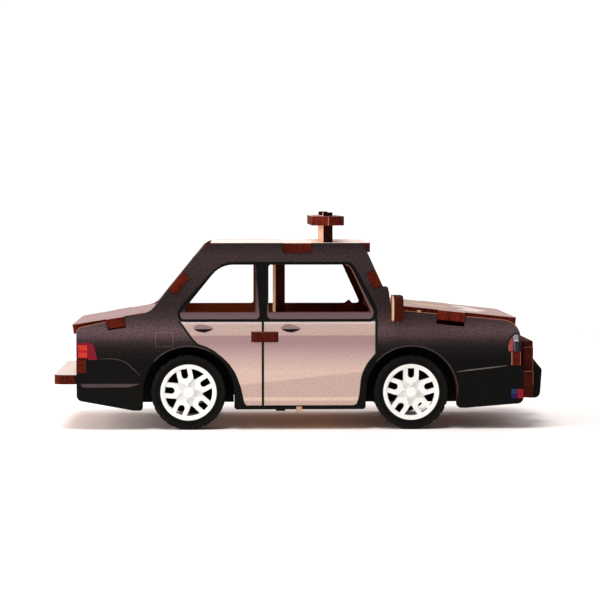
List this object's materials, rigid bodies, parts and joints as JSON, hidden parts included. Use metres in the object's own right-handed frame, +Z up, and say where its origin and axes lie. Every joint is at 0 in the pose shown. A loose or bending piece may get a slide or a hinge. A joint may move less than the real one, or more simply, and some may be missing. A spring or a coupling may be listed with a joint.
{
  "type": "toy police car",
  "caption": "Free-rolling toy patrol sedan made of slotted plywood boards, with an open cabin, roof light bar, push bars, mirrors and spoked wheels on steel axles.",
  "frame": {"origin": "centre of the car's box on the ground, between the four tyres", "axes": "+X forward, +Y to the car's left, +Z up"},
  "size_m": [0.1589, 0.0828, 0.0696],
  "materials": {
    "printed_board": "printed plywood, burnt edges",
    "pale_board": "pale printed plywood, burnt edges",
    "bare_board": "bare plywood, burnt edges",
    "axle_steel": "drawn steel rod",
    "rim_plastic": "white moulded plastic",
    "tyre_rubber": "black rubber"
  },
  "bodies": {
    "car": {"side_panel_right": "printed_board", "side_panel_left": "printed_board", "windscreen_frame": "printed_board", "rear_window_frame": "printed_board", "hood_panel": "printed_board", "trunk_lid": "printed_board", "front_panel": "printed_board", "front_bumper": "printed_board", "push_bar_right": "printed_board", "push_bar_left": "printed_board", "rear_panel": "printed_board", "roof_panel": "pale_board", "rear_bumper": "pale_board", "light_bar_web": "pale_board", "light_bar_plate": "pale_board", "floor_board": "bare_board", "deck_board": "bare_board", "partition_board": "bare_board", "firewall_board": "bare_board", "dashboard": "bare_board", "steering_wheel": "bare_board", "steering_column": "bare_board", "axle_rail_right": "bare_board", "axle_rail_left": "bare_board", "mirror_right": "bare_board", "mirror_left": "bare_board"},
    "front_wheels": {"front_axle": "axle_steel", "front_right_rim": "rim_plastic", "front_left_rim": "rim_plastic", "front_right_tyre": "tyre_rubber", "front_left_tyre": "tyre_rubber"},
    "rear_wheels": {"rear_axle": "axle_steel", "rear_right_rim": "rim_plastic", "rear_left_rim": "rim_plastic", "rear_right_tyre": "tyre_rubber", "rear_left_tyre": "tyre_rubber"}
  },
  "joints": [
    {"name": "front_axle_spin", "type": "hinge", "parent": "car", "child": "front_wheels", "pos_m": [0.03575, 0, 0.012], "axis": [0, 1, 0], "continuous": true},
    {"name": "rear_axle_spin", "type": "hinge", "parent": "car", "child": "rear_wheels", "pos_m": [-0.03575, 0, 0.012], "axis": [0, 1, 0], "continuous": true}
  ]
}
